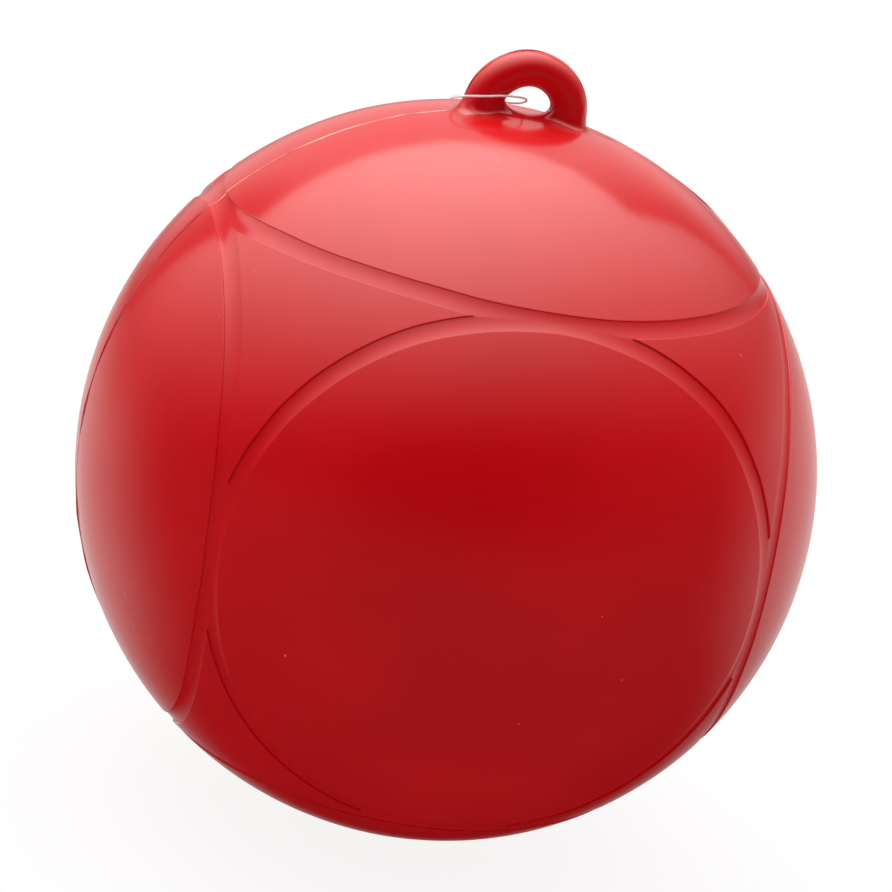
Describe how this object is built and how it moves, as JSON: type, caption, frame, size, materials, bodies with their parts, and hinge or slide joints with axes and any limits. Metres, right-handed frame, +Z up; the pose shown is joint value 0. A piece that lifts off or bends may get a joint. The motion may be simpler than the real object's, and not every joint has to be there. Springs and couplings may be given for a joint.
{
  "type": "slalom buoy",
  "caption": "Hollow round vinyl float with recessed rings framing its round and three-cornered panels, a moulded rope eye on top and a sunk screw valve underneath.",
  "frame": {"origin": "centre of the ball, which is also where the waterline plane crosses its axis", "axes": "+Z up through the crown of the eye, +Y along the hole of the eye, +X across the eye in the mould's parting plane"},
  "size_m": [0.2286, 0.2286, 0.2474],
  "materials": {
    "vinyl": "gloss",
    "plug_plastic": "satin",
    "seal_rubber": "matte",
    "screw_nylon": "satin"
  },
  "bodies": {
    "float": {"float_shell": "vinyl", "rope_eye": "vinyl", "valve_plug": "plug_plastic"},
    "seal": {"seal_washer": "seal_rubber"},
    "screw": {"valve_screw": "screw_nylon"}
  },
  "joints": [
    {"name": "screw_travel", "type": "slide", "parent": "float", "child": "seal", "axis": [0, 0, -1], "range_m": [0, 0.014]},
    {"name": "screw_turn", "type": "hinge", "parent": "seal", "child": "screw", "pos_m": [0, 0, -0.1108], "axis": [0, 0, -1], "range_deg": [0, 4033]}
  ],
  "couplings": [
    {"joint": "screw_turn", "follows": "screw_travel", "rad_per_m": 5026.5}
  ]
}
